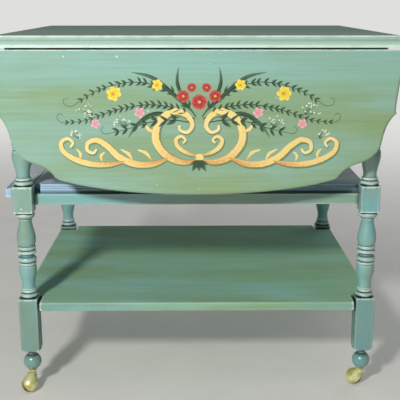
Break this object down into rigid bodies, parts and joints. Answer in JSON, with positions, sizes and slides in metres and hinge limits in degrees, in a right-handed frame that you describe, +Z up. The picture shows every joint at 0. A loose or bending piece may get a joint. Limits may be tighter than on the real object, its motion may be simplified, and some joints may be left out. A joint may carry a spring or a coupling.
{
  "type": "drop-leaf rolling table",
  "caption": "Painted wooden tea cart with turned legs, hinged drop leaves on folding stays, a pull-out tray, a lower shelf and swivelling ball casters.",
  "frame": {"origin": "on the floor under the middle of the table's box", "axes": "+X along the length, to the viewer's right in the picture; -Y towards the viewer; +Z up"},
  "size_m": [0.7978, 0.702, 0.74],
  "materials": {
    "brass": "polished",
    "brass_wheel": "polished",
    "brass_dull": "dull",
    "steel": "zinc plated",
    "plain_wood": "unpainted",
    "leaf_paint": "satin paint",
    "leg_paint": "satin paint",
    "shelf_paint": "satin paint",
    "top_paint": "satin paint",
    "rail_paint": "satin paint",
    "tray_paint": "satin paint"
  },
  "bodies": {
    "frame": {"top_panel": "top_paint", "leg_fl": "leg_paint", "leg_fr": "leg_paint", "leg_rl": "leg_paint", "leg_rr": "leg_paint", "apron_front": "rail_paint", "apron_rear": "rail_paint", "apron_left": "rail_paint", "apron_right": "rail_paint", "tray_rail_front": "rail_paint", "tray_rail_rear": "rail_paint", "tray_rail_left": "rail_paint", "tray_rail_right": "rail_paint", "tray_runners": "plain_wood", "corner_blocks": "plain_wood", "corner_block_screws": "steel", "lower_shelf": "shelf_paint", "shelf_bearers": "plain_wood", "shelf_screws": "steel", "hinge_flaps_top": "brass_dull", "hinge_screws_top": "brass_dull", "hinge_pins": "brass_dull", "stay_brackets_apron": "steel", "stay_rivets_apron": "steel", "caster_sockets": "steel"},
    "leaf_front": {"leaf_front": "leaf_paint", "hinge_flaps_leaf_front": "brass_dull", "hinge_screws_leaf_front": "brass_dull", "stay_brackets_leaf_front": "steel", "stay_rivets_leaf_front": "steel"},
    "leaf_rear": {"leaf_rear": "leaf_paint", "hinge_flaps_leaf_rear": "brass_dull", "hinge_screws_leaf_rear": "brass_dull", "stay_brackets_leaf_rear": "steel", "stay_rivets_leaf_rear": "steel"},
    "stay_fl_apron_link": {"stay_fl_apron_link": "steel"},
    "stay_fl_leaf_link": {"stay_fl_leaf_link": "steel"},
    "stay_fr_apron_link": {"stay_fr_apron_link": "steel"},
    "stay_fr_leaf_link": {"stay_fr_leaf_link": "steel"},
    "stay_rl_apron_link": {"stay_rl_apron_link": "steel"},
    "stay_rl_leaf_link": {"stay_rl_leaf_link": "steel"},
    "stay_rr_apron_link": {"stay_rr_apron_link": "steel"},
    "stay_rr_leaf_link": {"stay_rr_leaf_link": "steel"},
    "tray": {"tray_board": "tray_paint", "tray_cleat": "tray_paint", "tray_stop": "plain_wood"},
    "caster_fl_swivel": {"caster_fl_swivel": "brass", "caster_fl_axle": "brass"},
    "caster_fl_wheel": {"caster_fl_wheel": "brass_wheel"},
    "caster_fr_swivel": {"caster_fr_swivel": "brass", "caster_fr_axle": "brass"},
    "caster_fr_wheel": {"caster_fr_wheel": "brass_wheel"},
    "caster_rl_swivel": {"caster_rl_swivel": "brass", "caster_rl_axle": "brass"},
    "caster_rl_wheel": {"caster_rl_wheel": "brass_wheel"},
    "caster_rr_swivel": {"caster_rr_swivel": "brass", "caster_rr_axle": "brass"},
    "caster_rr_wheel": {"caster_rr_wheel": "brass_wheel"}
  },
  "joints": [
    {"name": "leaf_front_hinge", "type": "hinge", "parent": "frame", "child": "leaf_front", "pos_m": [0, -0.3274, 0.7164], "axis": [-1, 0, 0], "range_deg": [0, 90]},
    {"name": "leaf_rear_hinge", "type": "hinge", "parent": "frame", "child": "leaf_rear", "pos_m": [0, 0.3274, 0.7164], "axis": [1, 0, 0], "range_deg": [0, 90]},
    {"name": "stay_fl_apron_link_pivot", "type": "hinge", "parent": "frame", "child": "stay_fl_apron_link", "pos_m": [-0.15502, -0.3154, 0.6364], "axis": [-1, 0, 0], "range_deg": [0, 126.48]},
    {"name": "stay_fl_leaf_link_pivot", "type": "hinge", "parent": "leaf_front", "child": "stay_fl_leaf_link", "pos_m": [-0.15502, -0.3154, 0.6364], "axis": [-1, 0, 0], "range_deg": [-143.55, 0]},
    {"name": "stay_fr_apron_link_pivot", "type": "hinge", "parent": "frame", "child": "stay_fr_apron_link", "pos_m": [0.15502, -0.3154, 0.6364], "axis": [-1, 0, 0], "range_deg": [0, 126.48]},
    {"name": "stay_fr_leaf_link_pivot", "type": "hinge", "parent": "leaf_front", "child": "stay_fr_leaf_link", "pos_m": [0.15502, -0.3154, 0.6364], "axis": [-1, 0, 0], "range_deg": [-143.55, 0]},
    {"name": "stay_rl_apron_link_pivot", "type": "hinge", "parent": "frame", "child": "stay_rl_apron_link", "pos_m": [-0.15502, 0.3154, 0.6364], "axis": [1, 0, 0], "range_deg": [0, 126.48]},
    {"name": "stay_rl_leaf_link_pivot", "type": "hinge", "parent": "leaf_rear", "child": "stay_rl_leaf_link", "pos_m": [-0.15502, 0.3154, 0.6364], "axis": [1, 0, 0], "range_deg": [-143.55, 0]},
    {"name": "stay_rr_apron_link_pivot", "type": "hinge", "parent": "frame", "child": "stay_rr_apron_link", "pos_m": [0.15502, 0.3154, 0.6364], "axis": [1, 0, 0], "range_deg": [0, 126.48]},
    {"name": "stay_rr_leaf_link_pivot", "type": "hinge", "parent": "leaf_rear", "child": "stay_rr_leaf_link", "pos_m": [0.15502, 0.3154, 0.6364], "axis": [1, 0, 0], "range_deg": [-143.55, 0]},
    {"name": "tray_slide", "type": "slide", "parent": "frame", "child": "tray", "axis": [-1, 0, 0], "range_m": [0, 0.3]},
    {"name": "caster_fl_swivel_turn", "type": "hinge", "parent": "frame", "child": "caster_fl_swivel", "pos_m": [-0.3485, -0.2798, 0], "axis": [0, 0, 1], "continuous": true},
    {"name": "caster_fl_wheel_roll", "type": "hinge", "parent": "caster_fl_swivel", "child": "caster_fl_wheel", "pos_m": [-0.35451, -0.29677, 0.016], "axis": [0.7428, -0.263, 0.6157], "continuous": true},
    {"name": "caster_fr_swivel_turn", "type": "hinge", "parent": "frame", "child": "caster_fr_swivel", "pos_m": [0.3485, -0.2798, 0], "axis": [0, 0, 1], "continuous": true},
    {"name": "caster_fr_wheel_roll", "type": "hinge", "parent": "caster_fr_swivel", "child": "caster_fr_wheel", "pos_m": [0.33923, -0.26437, 0.016], "axis": [-0.6755, -0.4059, 0.6157], "continuous": true},
    {"name": "caster_rl_swivel_turn", "type": "hinge", "parent": "frame", "child": "caster_rl_swivel", "pos_m": [-0.3485, 0.2798, 0], "axis": [0, 0, 1], "continuous": true},
    {"name": "caster_rl_wheel_roll", "type": "hinge", "parent": "caster_rl_swivel", "child": "caster_rl_wheel", "pos_m": [-0.3395, 0.29539, 0.016], "axis": [-0.6824, 0.394, 0.6157], "continuous": true},
    {"name": "caster_rr_swivel_turn", "type": "hinge", "parent": "frame", "child": "caster_rr_swivel", "pos_m": [0.3485, 0.2798, 0], "axis": [0, 0, 1], "continuous": true},
    {"name": "caster_rr_wheel_roll", "type": "hinge", "parent": "caster_rr_swivel", "child": "caster_rr_wheel", "pos_m": [0.35958, 0.26562, 0.016], "axis": [-0.621, -0.4851, 0.6157], "continuous": true}
  ],
  "couplings": [
    {"joint": "stay_fl_apron_link_pivot", "follows": "leaf_front_hinge", "ratio": 1.4052},
    {"joint": "stay_fl_leaf_link_pivot", "follows": "leaf_front_hinge", "ratio": -1.5948},
    {"joint": "stay_fr_apron_link_pivot", "follows": "leaf_front_hinge", "ratio": 1.4052},
    {"joint": "stay_fr_leaf_link_pivot", "follows": "leaf_front_hinge", "ratio": -1.5948},
    {"joint": "stay_rl_apron_link_pivot", "follows": "leaf_rear_hinge", "ratio": 1.4052},
    {"joint": "stay_rl_leaf_link_pivot", "follows": "leaf_rear_hinge", "ratio": -1.5948},
    {"joint": "stay_rr_apron_link_pivot", "follows": "leaf_rear_hinge", "ratio": 1.4052},
    {"joint": "stay_rr_leaf_link_pivot", "follows": "leaf_rear_hinge", "ratio": -1.5948}
  ]
}
